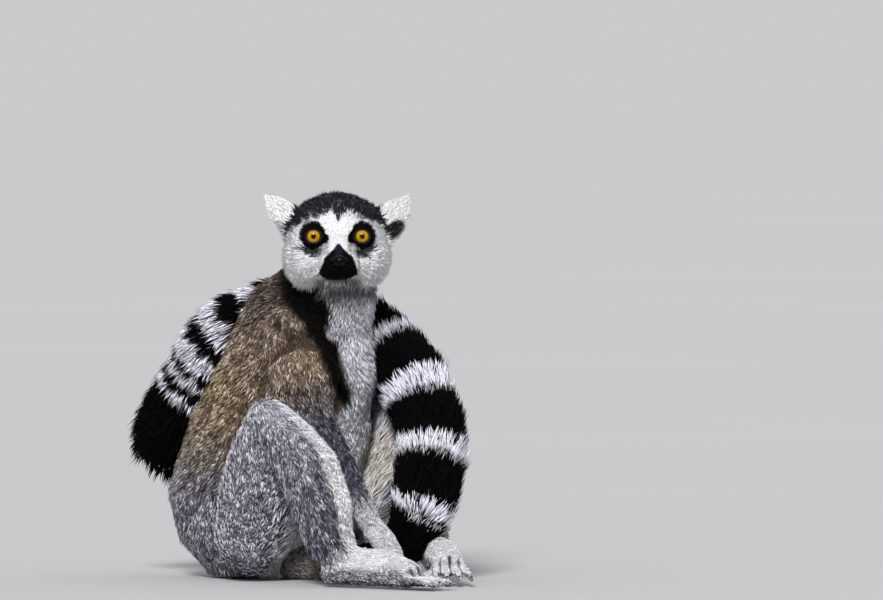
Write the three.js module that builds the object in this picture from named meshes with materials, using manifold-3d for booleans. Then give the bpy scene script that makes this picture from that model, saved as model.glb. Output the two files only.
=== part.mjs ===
// A ring-tailed lemur, life size, sitting on its rump with both knees drawn up. Its head is turned to its
// right. The tail runs forward between the legs, up past the left knee, over the left shoulder, round the
// back of the neck and down the back. Every solid is the outline of the coat, out to the hair tips.
// Millimetres, +Z up. The animal faces -Y, so its left is at +X. The floor is Z = 0.
import * as THREE from "three";
import { mergeVertices } from "three/addons/utils/BufferGeometryUtils.js";
import Module from "manifold-3d";

const wasm = await Module();
wasm.setup();

// ---------- driving dimensions ----------

const GAP = 0.35; // between neighbouring pieces
const CAP_ROWS = 2; // rings of faces in each round end
const EYE_HEIGHT = 252; // the eyes above the floor
const EYE_SPACING = 34.8; // between the centres of the eyes
const EYE_RADIUS = 7.2;
const HEAD_TURN = -43; // degrees from straight ahead; negative is to the animal's right
const TOE_LENGTH = 27;
const FINGER_LENGTH = 22;

// Joints of the skeleton, which the limbs are drawn between.
const SHOULDER = { right: [-37, -29, 184], left: [38, -8, 190] };
const ELBOW = { right: [-36, -52, 124], left: [66, 32, 118] };
const WRIST = { right: [-15, -88, 44], left: [76, -52, 150] };
const HIP = { right: [-43, 10, 28], left: [42, 18, 28] };
const KNEE = { right: [-76, -46, 121], left: [78, -34, 123] };
const ANKLE = { right: [-60, -107, 18], left: [49, -91, 20] };
const EYES_MIDDLE = [-36.3, -76.7, EYE_HEIGHT];

// Fur colours, by body region.
const WHITE = 0xe9e7e4;
const GREY = 0x8f8d90;
const BROWN = 0x7f6d5c;
const BLACK = 0x17161a;

// ---------- solids from three.js geometries ----------

// A manifold solid of a closed geometry.
function solidOf(geometry) {
  const bare = geometry.clone();
  bare.deleteAttribute("normal");
  bare.deleteAttribute("uv");
  const merged = mergeVertices(bare, 1e-4);
  return new wasm.Manifold(
    new wasm.Mesh({
      numProp: 3,
      vertProperties: new Float32Array(merged.attributes.position.array),
      triVerts: new Uint32Array(merged.index.array),
    }),
  );
}

function geometryOf(solid) {
  const mesh = solid.getMesh();
  const position = new Float32Array(mesh.numVert * 3);
  for (let i = 0; i < mesh.numVert; i++) {
    position.set(mesh.vertProperties.subarray(i * mesh.numProp, i * mesh.numProp + 3), i * 3);
  }
  const geometry = new THREE.BufferGeometry();
  geometry.setAttribute("position", new THREE.BufferAttribute(position, 3));
  geometry.setIndex(new THREE.BufferAttribute(mesh.triVerts, 1));
  geometry.computeVertexNormals();
  return geometry;
}

// A sphere drawn out along a smooth path. A station is [x, y, z, half width, half depth]: the half width
// lies along `side`, the half depth across it. `from` and `to` take a stretch of the path, and an end
// named in `flat` is cut square there.
function sweep(stations, options = {}) {
  const { side = [1, 0, 0], around = 12, steps = 8, from = 0, to = 1, flat = [], grow = 0 } = options;
  const path = new THREE.CatmullRomCurve3(
    stations.map((s) => new THREE.Vector3(s[0], s[1], s[2])), false, "catmullrom", 0.5);
  const sizes = new THREE.SplineCurve(stations.map((s) => new THREE.Vector2(s[3], s[4] ?? s[3])));
  const rows = 2 * CAP_ROWS + steps;
  const geometry = new THREE.SphereGeometry(1, around, rows);
  const position = geometry.attributes.position;
  const toSide = new THREE.Vector3(...side);
  for (let row = 0; row <= rows; row++) {
    const start = row < CAP_ROWS;
    const end = row > rows - CAP_ROWS;
    const along = Math.min(1, Math.max(0, (row - CAP_ROWS) / steps));
    const t = from + (to - from) * along;
    const tangent = path.getTangent(t);
    const across = tangent.clone().cross(toSide).normalize();
    const width = across.clone().cross(tangent).normalize();
    const size = sizes.getPoint(t);
    const turn = start ? row / CAP_ROWS : end ? (rows - row) / CAP_ROWS : 1;
    const isFlat = (start && flat.includes("start")) || (end && flat.includes("end"));
    const share = isFlat ? turn : Math.sin((turn * Math.PI) / 2);
    const bulge = isFlat ? 0 : Math.cos((turn * Math.PI) / 2) * (Math.min(size.x, size.y) + grow);
    const centre = path.getPoint(t).addScaledVector(tangent, start ? -bulge : end ? bulge : 0);
    for (let i = 0; i <= around; i++) {
      const angle = ((i % around) / around) * 2 * Math.PI;
      const p = centre.clone()
        .addScaledVector(width, -Math.cos(angle) * share * (size.x + grow))
        .addScaledVector(across, Math.sin(angle) * share * (size.y + grow));
      position.setXYZ(row * (around + 1) + i, p.x, p.y, p.z);
    }
  }
  return geometry;
}

// An ellipsoid, tilted by Euler angles in degrees.
function ball(centre, radii, { tilt = [0, 0, 0], around = 20, rows = 14, grow = 0 } = {}) {
  const [x, y, z] = tilt.map(THREE.MathUtils.degToRad);
  return new THREE.SphereGeometry(1, around, rows)
    .rotateX(Math.PI / 2)
    .scale(radii[0] + grow, radii[1] + grow, radii[2] + grow)
    .applyMatrix4(new THREE.Matrix4().makeRotationFromEuler(new THREE.Euler(x, y, z)))
    .translate(...centre);
}

const joined = (geometries) => geometries.map(solidOf).reduce((whole, piece) => whole.add(piece));
const between = (a, b, share) => a.map((value, i) => value + (b[i] - value) * share);
const moved = (point, by) => point.map((value, i) => value + by[i]);

// ---------- trunk and neck ----------

function trunk(grow) {
  return solidOf(sweep([
    [0, 46, 9, 36, 44],
    [0, 49, 34, 55, 62],
    [0, 48, 66, 60, 71],
    [1, 26, 98, 63, 70],
    [0, 12, 130, 57, 65],
    [0, -2, 160, 51, 63],
    [-3, -14, 186, 46, 57],
    [-5, -28, 205, 39, 42],
  ], { around: 14, steps: 8, grow }));
}

function neck(grow) {
  return solidOf(sweep([
    [-5, -31, 200, 38, 40],
    [-7, -41, 216, 34, 36],
    [-11, -48, 232, 31, 33],
  ], { around: 10, steps: 2, grow }));
}

// ---------- head, in its own frame ----------
// The head frame's origin is midway between the eyes; it looks along -Y, with its left at +X.

const HEAD_FRAME = new THREE.Matrix4()
  .makeRotationZ(THREE.MathUtils.degToRad(HEAD_TURN))
  .setPosition(...EYES_MIDDLE);
const inHead = (geometry) => geometry.applyMatrix4(HEAD_FRAME);
const bothSides = (make) => [-1, 1].map(make);

function head(grow) {
  const size = { grow, around: 14, rows: 9 };
  const masses = [
    ball([0, 28, 1.6], [38.5, 34, 32], size), // braincase
    ball([0, 13, -7], [31, 20, 25], { grow, around: 12, rows: 7 }), // face
    ...bothSides((s) => ball([s * 20.5, 17, -15.5], [18.5, 21, 22], { grow, around: 10, rows: 7 })), // cheeks
    sweep([
      [0, 4, -9, 18, 16],
      [0, -9, -14, 14.8, 12.5],
      [0, -19, -19.4, 14.6, 10.4],
      [0, -27, -21.6, 14, 8.4],
    ], { grow, around: 10, steps: 3 }), // muzzle
  ];
  const sockets = bothSides((s) =>
    ball([s * EYE_SPACING / 2, -8, 0], [9.5, 8, 8.5], { around: 8, rows: 5, grow: -grow }));
  return joined(masses.map(inHead)).subtract(joined(sockets.map(inHead)));
}

function lowerJaw(grow) {
  return solidOf(inHead(sweep([
    [0, 6, -27, 14, 6.5],
    [0, -10, -27.2, 14, 4.5],
    [0, -25, -27.8, 12.8, 2.8],
  ], { grow, around: 8, steps: 2 })));
}

function nose(grow) {
  const pad = ball([0, -35.5, -17.2], [7, 4.6, 5], { tilt: [-12, 0, 0], around: 8, rows: 6, grow });
  return solidOf(inHead(pad));
}

function eye(s, grow) {
  return solidOf(inHead(ball([s * EYE_SPACING / 2, 2, 0], [EYE_RADIUS, EYE_RADIUS, EYE_RADIUS],
    { around: 10, rows: 7, grow })));
}

// A cupped shell: a leaf shape less a smaller one set forward and outward.
function ear(s, grow) {
  const back = s < 0 ? 2.5 : 0; // the right ear is drawn in a little
  const leaf = sweep([
    [s * (30 - back), 28, -2.5 + back, 10, 7],
    [s * (36 - back), 29, 6.5 + back, 14 - back, 8],
    [s * (43 - back), 30, 16.5 + back / 2, 13 - back, 6],
    [s * (48 - back / 2), 31, 24, 7, 3.5],
    [s * (50 + back / 3), 31, 28.5 - back / 2, 2, 1.6],
  ], { side: [0.75 * s, 0.35, -0.55], around: 8, steps: 5, grow });
  const hollow = sweep([
    [s * (39 - back), 20, -1.5 + back, 6, 5],
    [s * (42 - back), 21, 7.5 + back, 9 - back, 6],
    [s * (46 - back), 22, 16 + back / 2, 7 - back / 2, 4.5],
    [s * (49 - back / 2), 24, 21.5, 3, 2],
  ], { side: [0.75 * s, 0.35, -0.55], around: 6, steps: 2, grow: -grow });
  return solidOf(inHead(leaf)).subtract(solidOf(inHead(hollow)));
}

// ---------- limbs ----------

function upperArm(s, grow) {
  const [top, low] = [SHOULDER[s], ELBOW[s]];
  return solidOf(sweep([
    [...top, 21, 24],
    [...between(top, low, 0.35), 23, 31],
    [...between(top, low, 0.7), 21, 31],
    [...low, 15, 17],
  ], { steps: 3, around: 10, grow }));
}

function forearm(s, grow) {
  const [top, low] = [ELBOW[s], WRIST[s]];
  return solidOf(sweep([
    [...top, 14, 14.5],
    [...between(top, low, 0.35), 13, 14],
    [...between(top, low, 0.75), 10.5, 12],
    [...low, 9.5, 10.5],
  ], { steps: 3, around: 8, grow }));
}

// A palm or sole with a fan of digits and an opposed thumb or big toe. `reach` is the way the digits point,
// `out` the way across the palm towards the little finger, `roots` where the digits start.
function extremity(palm, roots, reach, out, length, radius, drop, thumb, grow) {
  const fan = [-1, -0.34, 0.33, 1];
  const digits = fan.map((f) => {
    const spread = out.map((v) => v * f);
    const start = moved(roots, spread.map((v) => v * 9.6));
    const bend = moved(start, reach.map((v, i) => v * length * 0.55 + spread[i] * 2.2));
    const tip = moved(moved(bend, reach.map((v, i) => v * length * 0.45 + spread[i] * 1.2)), drop);
    return sweep([[...start, radius + 0.6], [...bend, radius], [...tip, radius * 0.85]],
      { side: out, around: 5, steps: 2, grow });
  });
  const opposed = sweep(thumb, { side: reach, around: 5, steps: 2, grow });
  return joined([sweep(palm, { side: out, around: 8, steps: 3, grow }), ...digits, opposed]);
}

function hand(s, grow) {
  const w = WRIST[s];
  if (s === "right") {
    const out = [-0.82, -0.57, 0];
    return extremity(
      [[...moved(w, [2, -2, -4]), 9.5, 9.5], [...moved(w, [6, -12, -17]), 11.5, 10],
        [...moved(w, [8, -19, -30]), 12, 8]],
      moved(w, [10, -22, -37]), [0.5, -0.72, -0.2], out, FINGER_LENGTH, 3, [0, 0, 0.5],
      [[...moved(w, [14, -8, -31]), 4], [...moved(w, [21, -11, -37]), 3.4],
        [...moved(w, [27, -17, -40]), 2.8]],
      grow);
  }
  return extremity(
    [[...moved(w, [0, -3, 0]), 9.5, 9], [...moved(w, [0, -11, -10]), 11.5, 7],
      [...moved(w, [0, -14, -21]), 12, 6]],
    moved(w, [0, -15, -24]), [0, 0.05, -1], [0.99, 0, 0], FINGER_LENGTH, 3, [0, 2.5, 0],
    [[...moved(w, [-7, -12, -14]), 4], [...moved(w, [-14, -12, -22]), 3.4],
      [...moved(w, [-17, -11, -30]), 2.8]],
    grow);
}

function thigh(s, grow) {
  const [top, low] = [HIP[s], KNEE[s]];
  return solidOf(sweep([
    [...top, 25, 29],
    [...between(top, low, 0.3), 26, 33],
    [...between(top, low, 0.62), 23, 30],
    [...between(top, low, 0.88), 20, 22],
    [...low, 16, 17],
  ], { steps: 4, grow }));
}

function shank(s, grow) {
  const [top, low] = [KNEE[s], ANKLE[s]];
  const bow = (share, forward) => moved(between(top, low, share), [0, -forward, forward * 0.4]);
  const shin = { right: [7, 9, -2], left: [2, 0, -6] }[s];
  const deep = { right: [24, 29, 25], left: [22, 25, 21] }[s];
  return solidOf(sweep([
    [...top, 17, 17],
    [...bow(0.25, shin[0]), 20, deep[0]],
    [...bow(0.52, shin[1]), 20, deep[1]],
    [...bow(0.8, shin[2]), 17, deep[2]],
    [...low, 12, 15],
  ], { steps: 5, grow }));
}

function foot(s, grow) {
  const a = ANKLE[s];
  const heading = s === "right" ? 10 : -38; // degrees off straight ahead, towards +X for the right foot
  const turn = THREE.MathUtils.degToRad(heading);
  const reach = [Math.sin(turn), -Math.cos(turn), 0];
  const outward = s === "right" ? -1 : 1;
  const out = [outward * Math.cos(turn), outward * Math.sin(turn), 0];
  const at = (forward, sideways, z) =>
    [a[0] + reach[0] * forward + out[0] * sideways, a[1] + reach[1] * forward + out[1] * sideways, z];
  const arch = s === "right" ? 0 : 5; // the left sole is arched over its toes
  return extremity(
    [[...at(-11, 0, 10 + arch), 9, 9.5], [...at(3, 0, 15 + arch), 11.5, 14],
      [...at(22, 0, 16 + arch), 11, 15], [...at(42, 1, 14 + arch), 11.5, 13.5],
      [...at(58, 2, 11 + arch), 12.5, 11]],
    at(61, 2, 8.5 + arch), [reach[0], reach[1], -0.1 - arch / 40], out, TOE_LENGTH, 3.5, [0, 0, -1.2],
    [[...at(42, -8, 6.5), 5.5], [...at(56, -17, 5), 4.6], [...at(67, -21, 3.8), 4]],
    grow);
}

// ---------- tail ----------

const TAIL = [
  [0, 62, 24, 14],
  [0, 36, 12, 13],
  [5, 0, 12, 12.5],
  [14, -42, 13, 14],
  [24, -72, 22, 18],
  [31, -90, 45, 25],
  [39, -93, 75, 27],
  [48, -87, 106, 27.5],
  [51, -73, 135, 27.5],
  [51, -54, 160, 25.5],
  [47, -32, 179, 24],
  [35, 0, 197, 23],
  [15, 24, 200, 24],
  [1, 36, 195, 25],
  [-15, 56, 180, 29.5],
  [-20, 79, 152, 29.5],
  [-20, 103, 119, 32.5],
  [-16, 117, 101, 29],
];
// The lengths it is parted into, from the rump to the tip, as shares of the path.
const TAIL_LENGTHS = [
  ["tail_1_base", 0, 4],
  ["tail_2_rise", 4, 7],
  ["tail_3_front", 7, 10],
  ["tail_4_nape", 10, 13],
  ["tail_5_back", 13, 15.4],
  ["tail_6_tip", 15.4, 17],
];

function tailLength(first, last, grow) {
  const spans = TAIL.length - 1;
  const slit = 0.006; // of one span, half the cut between two lengths
  const ends = [];
  if (first > 0) ends.push("start");
  if (last < spans) ends.push("end");
  return solidOf(sweep(TAIL, {
    side: [1, 0.1, 0.05],
    from: (first + (first > 0 ? slit : 0)) / spans,
    to: (last - (last < spans ? slit : 0)) / spans,
    flat: ends,
    around: 12,
    steps: Math.round((last - first) * 1.4),
    grow,
  }));
}

// ---------- the pieces, each cut back from those before it ----------

const SIDES = ["right", "left"];
const signOf = (s) => (s === "right" ? -1 : 1);
const eachSide = (name, colour, roughness, form) =>
  SIDES.map((s) => [`${name}_${s}`, colour, roughness, (grow) => form(s, grow)]);

const PIECES = [
  ...eachSide("eye", 0xd8861a, 0.1, (s, grow) => eye(signOf(s), grow)),
  ["nose", BLACK, 0.35, nose],
  ["head", WHITE, 0.9, head],
  ["lower_jaw", WHITE, 0.9, lowerJaw],
  ...eachSide("ear", WHITE, 0.9, (s, grow) => ear(signOf(s), grow)),
  ...eachSide("foot", WHITE, 0.9, foot),
  ...eachSide("shank", GREY, 0.9, shank),
  ...eachSide("thigh", GREY, 0.9, thigh),
  ...eachSide("hand", GREY, 0.9, hand),
  ...eachSide("forearm", GREY, 0.9, forearm),
  ...eachSide("upper_arm", BROWN, 0.9, upperArm),
  ["neck", WHITE, 0.9, neck],
  ["tail_1_base", GREY, 0.9, (grow) => tailLength(TAIL_LENGTHS[0][1], TAIL_LENGTHS[0][2], grow)],
  ["trunk", BROWN, 0.9, trunk],
  ...TAIL_LENGTHS.slice(1).map(([name, first, last]) =>
    [name, BLACK, 0.9, (grow) => tailLength(first, last, grow)]),
];

const biggest = (solid) =>
  solid.decompose().reduce((best, piece) => (piece.volume() > best.volume() ? piece : best));

const animal = new THREE.Group();
let taken = solidOf(new THREE.BoxGeometry(900, 900, 200).translate(0, 0, -100)); // below the floor
for (const [name, colour, roughness, form] of PIECES) {
  const solid = biggest(form(0).subtract(taken));
  const material = new THREE.MeshStandardMaterial({ color: colour, roughness, metalness: 0 });
  const mesh = new THREE.Mesh(geometryOf(solid), material);
  mesh.name = name;
  animal.add(mesh);
  taken = taken.add(form(GAP));
}

// The origin is the middle of the footprint, on the floor.
const middle = new THREE.Box3().setFromObject(animal).getCenter(new THREE.Vector3());
animal.position.set(-middle.x, -middle.y, 0);

export default animal;
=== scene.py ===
"""The looks of a sitting ring-tailed lemur: skin, eyes, nose, claws, whiskers and a coat of solid tufts.

Lengths are in millimetres in the animal's own frame (+Z up, it faces -Y, its left is +X, the floor is Z = 0)
until a mesh is made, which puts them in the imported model's frame, in metres.
"""
import math

import bpy
import numpy as np
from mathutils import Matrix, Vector
from mathutils.bvhtree import BVHTree
from mathutils.kdtree import KDTree


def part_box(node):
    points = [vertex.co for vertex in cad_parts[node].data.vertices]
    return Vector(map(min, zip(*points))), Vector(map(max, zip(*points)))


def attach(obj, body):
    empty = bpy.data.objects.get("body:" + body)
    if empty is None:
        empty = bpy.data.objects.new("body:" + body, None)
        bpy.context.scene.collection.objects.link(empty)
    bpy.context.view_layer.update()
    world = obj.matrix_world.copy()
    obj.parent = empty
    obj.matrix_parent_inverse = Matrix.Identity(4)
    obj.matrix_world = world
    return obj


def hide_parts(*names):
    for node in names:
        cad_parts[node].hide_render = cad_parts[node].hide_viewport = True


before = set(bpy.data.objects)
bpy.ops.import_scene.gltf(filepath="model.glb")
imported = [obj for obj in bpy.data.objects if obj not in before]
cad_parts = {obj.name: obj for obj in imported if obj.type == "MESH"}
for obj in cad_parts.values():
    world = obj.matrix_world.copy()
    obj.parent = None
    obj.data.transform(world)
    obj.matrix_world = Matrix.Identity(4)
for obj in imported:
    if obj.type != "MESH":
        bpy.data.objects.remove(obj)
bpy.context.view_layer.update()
rng = np.random.default_rng(11)

# ---------- driving sizes, as in the solids ----------

EYES_MIDDLE = np.array([-36.3, -76.7, 252.0])
EYE_SPACING = 34.8
EYE_BACK = 2.0  # the eyes' centres behind the head frame's origin
EYE_RADIUS = 7.2
HEAD_TURN = math.radians(-43)
CAMERA_AZIMUTH = math.radians(-45)
SHOULDER = {"right": (-37, -29, 184), "left": (38, -8, 190)}
ELBOW = {"right": (-36, -52, 124), "left": (66, 32, 118)}
WRIST = {"right": (-15, -88, 44), "left": (76, -52, 150)}
FINGERS = {"right": (2, -128, 3), "left": (76, -66, 104)}
HIP = {"right": (-43, 10, 28), "left": (42, 18, 28)}
KNEE = {"right": (-76, -46, 121), "left": (78, -34, 123)}
ANKLE = {"right": (-60, -107, 18), "left": (49, -91, 20)}
TOES = {"right": (-44, -195, 3), "left": (-1, -155, 3)}
TRUNK = [(-5, -28, 205), (-3, -14, 186), (0, -2, 160), (0, 12, 130), (1, 26, 98), (0, 48, 66), (0, 49, 34),
         (0, 46, 9)]
NECK = [(-20, -58, 246), (-11, -48, 232), (-7, -41, 216), (-5, -31, 200)]
# Tail: x, y, z and the coat's radius
TAIL = np.array([
    [0, 62, 24, 14], [0, 36, 12, 13], [5, 0, 12, 12.5], [14, -42, 13, 14], [24, -72, 22, 18],
    [31, -90, 45, 25], [39, -93, 75, 27], [48, -87, 106, 27.5], [51, -73, 135, 27.5], [51, -54, 160, 25.5],
    [47, -32, 179, 24], [35, 0, 197, 23], [15, 24, 200, 24], [1, 36, 195, 25], [-15, 56, 180, 29.5],
    [-20, 79, 152, 29.5], [-20, 103, 119, 32.5], [-16, 117, 101, 29],
])
METRE = 0.001


def middle(box):
    return (np.array(box[0]) + np.array(box[1])) / 2 / METRE


HEAD_AXES = np.array([
    [math.cos(HEAD_TURN), math.sin(HEAD_TURN), 0],
    [-math.sin(HEAD_TURN), math.cos(HEAD_TURN), 0],
    [0, 0, 1],
])
eyes = (middle(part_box("eye_left")) + middle(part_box("eye_right"))) / 2
OFFSET = eyes - (EYES_MIDDLE + EYE_BACK * HEAD_AXES[1])


def to_frame(points):
    """From the animal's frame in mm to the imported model's in metres."""
    return (np.asarray(points, float) + OFFSET) * METRE


def to_head(points):
    """From the animal's frame to the head's: to its left, back and up from between the eyes."""
    return (np.asarray(points, float) - EYES_MIDDLE) @ HEAD_AXES.T


def from_head(points):
    """From the head's frame to the animal's."""
    return np.asarray(points, float) @ HEAD_AXES + EYES_MIDDLE


# ---------- small mathematics ----------


def unit(v):
    return v / np.maximum(np.linalg.norm(v, axis=-1, keepdims=True), 1e-9)


def swung(turn, a, b):
    """Directions swung from `a` towards `b`, at right angles to it, by an angle."""
    return np.cos(turn)[..., None] * a + np.sin(turn)[..., None] * b


def turns(around):
    """Angles evenly round a circle."""
    return np.arange(around) * 2 * math.pi / around


def ramp(x, low, high):
    """A smooth step from 0 at `low` to 1 at `high`."""
    t = np.clip((x - low) / (high - low), 0, 1)
    return t * t * (3 - 2 * t)


def mix(a, b, share):
    """Blends colours by a share for each point."""
    share = np.atleast_1d(share)[:, None]
    return a * (1 - share) + b * share


def noise(points, size, seed=0):
    """Smooth noise from -1 to 1, with features about `size` mm across."""
    p = np.asarray(points) / size + 1000.0
    cell = np.floor(p).astype(np.int64)
    t = p - cell
    t = t * t * (3 - 2 * t)
    total = np.zeros(len(p))
    for corner in range(8):
        bits = np.array([corner & 1, corner >> 1 & 1, corner >> 2 & 1])
        c = cell + bits
        h = (c[:, 0] * 73856093) ^ (c[:, 1] * 19349663) ^ (c[:, 2] * 83492791) ^ (seed * 2654435761 + 977)
        h = (h ^ (h >> 13)) * 1274126177 & 0xFFFFFFFF
        value = ((h ^ (h >> 16)) & 0xFFFF) / 32767.5 - 1
        weight = np.prod(np.where(bits == 1, t, 1 - t), axis=1)
        total += value * weight
    return total


def spline(points, steps):
    """A Catmull-Rom curve through rows of numbers."""
    p = np.asarray(points, float)
    ends = np.vstack([2 * p[0] - p[1], p, 2 * p[-1] - p[-2]])
    out = []
    for i in range(len(p) - 1):
        a, b, c, d = ends[i:i + 4]
        t = np.linspace(0, 1, steps, endpoint=False)[:, None]
        out.append(0.5 * (2 * b + (c - a) * t + (2 * a - 5 * b + 4 * c - d) * t**2
                          + (3 * b - a - 3 * c + d) * t**3))
    out.append(p[-1:])
    return np.vstack(out)


def colour(r, g, b):
    """Linear light from an sRGB colour of 0 to 255."""
    c = np.array([r, g, b]) / 255
    return np.where(c <= 0.04045, c / 12.92, ((c + 0.055) / 1.055) ** 2.4)


# ---------- meshes and materials ----------

TINT = "Tint"  # the colour attribute that skin and coat share


def make_mesh(name, points, faces, tint=None, uv=None, smooth=True):
    """An object from points in mm, faces of one size, a colour per point and a UV per corner."""
    faces = np.asarray(faces, np.int32)
    sides = faces.shape[1]
    me = bpy.data.meshes.new(name)
    me.vertices.add(len(points))
    me.vertices.foreach_set("co", to_frame(points).astype(np.float32).ravel())
    me.loops.add(faces.size)
    me.loops.foreach_set("vertex_index", faces.ravel())
    me.polygons.add(len(faces))
    me.polygons.foreach_set("loop_start", np.arange(len(faces), dtype=np.int32) * sides)
    me.polygons.foreach_set("loop_total", np.full(len(faces), sides, np.int32))
    me.polygons.foreach_set("use_smooth", np.full(len(faces), smooth))
    if tint is not None:
        rgba = np.ones((len(points), 4), np.float32)
        rgba[:, :3] = np.clip(tint, 0, 1)
        me.attributes.new(TINT, "FLOAT_COLOR", "POINT").data.foreach_set("color", rgba.ravel())
    if uv is not None:
        me.uv_layers.new(name="OFBake").data.foreach_set("uv", np.asarray(uv, np.float32).ravel())
    me.update()
    ob = bpy.data.objects.new(name, me)
    bpy.context.scene.collection.objects.link(ob)
    return ob


def joined(name, parts):
    """One object from parts, each its points, faces and colours."""
    points, faces, tints = zip(*parts)
    starts = np.cumsum([0] + [len(p) for p in points])
    faces = [f + k for f, k in zip(faces, starts)]
    return make_mesh(name, np.vstack(points), np.vstack(faces), np.vstack(tints))


def grid_quads(rows, around, closed_rows=False):
    """Quads between rows of points, each row a closed ring."""
    i = np.arange(rows if closed_rows else rows - 1)[:, None]
    j = np.arange(around)[None]
    k = (j + 1) % around
    n = (i + 1) % rows
    return np.stack([i * around + j, i * around + k, n * around + k, n * around + j], -1).reshape(-1, 4)


def tube_quads(rows, around):
    """The sides of a tube and its two ends."""
    ends = [[start + a, start + a + 1, start + around - a - 2, start + around - a - 1]
            for start in (0, (rows - 1) * around) for a in range(around // 2 - 1)]
    return np.vstack([grid_quads(rows, around), ends])


def piece(ob, material, slot, *nodes):
    """Hands an object to the frame, with the CAD nodes it stands for, if any."""
    ob.data.materials.clear()
    ob.data.materials.append(material)
    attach(ob, "root")
    if nodes:
        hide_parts(*nodes)
    return ob


class Nodes:
    """A short way to build a material's node tree."""

    def __init__(self, name):
        self.material = bpy.data.materials.new(name)
        self.material.use_nodes = True
        self.tree = self.material.node_tree
        self.shader = self.tree.nodes["Principled BSDF"]

    def put(self, place, value):
        """Links an output to an input, or sets the input's value."""
        if isinstance(value, bpy.types.NodeSocket):
            self.tree.links.new(value, place)
        else:
            place.default_value = value

    def add(self, kind, out, *inputs, **values):
        """A new node's output `out`, from its first inputs in order, and others and settings by name."""
        node = self.tree.nodes.new(kind)
        for key, value in values.items():
            if hasattr(node, key):
                setattr(node, key, value)
            else:
                self.put(node.inputs[key.replace("_", " ")], value)
        for place, value in zip(node.inputs, inputs):
            self.put(place, value)
        return node.outputs[out]

    def stops(self, share, *stops):
        """The colour at a share between stops, each a place and an sRGB colour."""
        out = self.add("ShaderNodeValToRGB", "Color", share)
        elements = out.node.color_ramp.elements
        while len(elements) < len(stops):
            elements.new(0.5)
        for element, (place, tint) in zip(elements, stops):
            element.position = place
            element.color = (*colour(*tint), 1)
        return out

    def set(self, **values):
        for key, value in values.items():
            self.put(self.shader.inputs[key.replace("_", " ")], value)


def tinted(name, speckle, size, strength, **shading):
    """The attribute's colour, varied by noise, over a fine bump."""
    n = Nodes(name)
    tint = n.add("ShaderNodeAttribute", "Color", attribute_name=TINT)
    where = n.add("ShaderNodeTexCoord", "Object")
    grain = n.add("ShaderNodeTexNoise", "Fac", where, Scale=1 / (size * METRE), Detail=3.0, Roughness=0.6)
    spread = n.add("ShaderNodeMapRange", "Result", grain, To_Min=1 - speckle, To_Max=1 + speckle)
    shade = n.add("ShaderNodeVectorMath", "Vector", tint, operation="SCALE", Scale=spread)
    n.set(Base_Color=shade, **shading)
    if strength:
        n.set(Normal=n.add("ShaderNodeBump", "Normal", Strength=strength, Distance=0.4 * METRE, Height=grain))
    return n.material


# ---------- colours ----------

# The greys and the whites of the chest and tail lean blue: a painted cast of the blue light in shade, over the
# fur's own colour.
WHITE = colour(249, 249, 252)
SHADE_BLUE_WHITE = colour(233, 236, 250)
CREAM = colour(232, 226, 217)
GREY = colour(164, 161, 175)
THROAT_SHADE = colour(92, 100, 100)
BROWN = colour(174, 152, 131)
UMBER = colour(15, 12, 12)
SLATE = colour(62, 60, 78)
CAP = colour(9, 9, 16)
BLACK = colour(6, 6, 8)
CHIN_SHADE = colour(112, 114, 108)
BRIDGE_SHEEN = colour(34, 29, 50)
DARK_SKIN = colour(52, 47, 50)
NAIL = colour(62, 55, 54)
WHISKER = colour(70, 66, 66)

# ---------- regions of the body: how the coat lies on each CAD node ----------


def lay(depth, length, width, density, lift, *path):
    """A part's coat: its depth, the tufts' length, width, number per mm2 and degrees off the skin, and the
    places that the hair runs along."""
    path = spline(path, 6) if len(path) > 2 else path
    return dict(depth=depth, length=length, width=width, density=density, lift=lift, path=path)


REGIONS = {
    "head": lay(2.6, 4.6, 0.66, 2.6, 34),
    "lower_jaw": lay(1.4, 3.6, 0.7, 2.4, 22),
    "neck": lay(4.2, 8.5, 0.9, 1.8, 28, *NECK),
    "trunk": lay(3.4, 6.2, 0.72, 2.0, 27, *TRUNK),
}
for side in ("right", "left"):
    REGIONS["ear_" + side] = lay(0.9, 4.8, 0.55, 3.0, 20)
    REGIONS["upper_arm_" + side] = lay(3.1, 5.8, 0.72, 2.2, 27, SHOULDER[side], ELBOW[side])
    REGIONS["forearm_" + side] = lay(2.2, 5.2, 0.68, 2.3, 24, ELBOW[side], WRIST[side])
    REGIONS["hand_" + side] = lay(0.9, 3.2, 0.7, 3.2, 18, WRIST[side], FINGERS[side])
    REGIONS["thigh_" + side] = lay(3.4, 6.8, 0.75, 2.0, 27, HIP[side], KNEE[side])
    REGIONS["shank_" + side] = lay(2.9, 6.4, 0.75, 2.2, 26, KNEE[side], ANKLE[side])
    REGIONS["foot_" + side] = lay(1.0, 4.4, 0.65, 2.8, 18, ANKLE[side], TOES[side])
NAMES = list(REGIONS)
INDEX = {name: i for i, name in enumerate(NAMES)}


def region_values(key):
    return np.array([REGIONS[name][key] for name in NAMES], float)


# ---------- skin ----------

SKIN_VOXEL = 1.25


def read(collection, key, width, kind):
    """A property of a mesh's elements, as rows of numbers."""
    values = np.empty(len(collection) * width, kind)
    collection.foreach_get(key, values)
    return values.reshape(-1, width)


def places(mesh):
    return read(mesh.vertices, "co", 3, np.float32).astype(float) / METRE - OFFSET


def cad_solids():
    """The points in mm and triangles of the nodes under the coat, and the region of each triangle."""
    points, triangles, owner, count = [], [], [], 0
    for index, name in enumerate(NAMES):
        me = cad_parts[name].data
        me.calc_loop_triangles()
        points.append(places(me))
        triangles.append(read(me.loop_triangles, "vertices", 3, np.int32) + count)
        owner.append(np.full(len(triangles[-1]), index))
        count += len(points[-1])
    return np.vstack(points), np.vstack(triangles), np.concatenate(owner)


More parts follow.
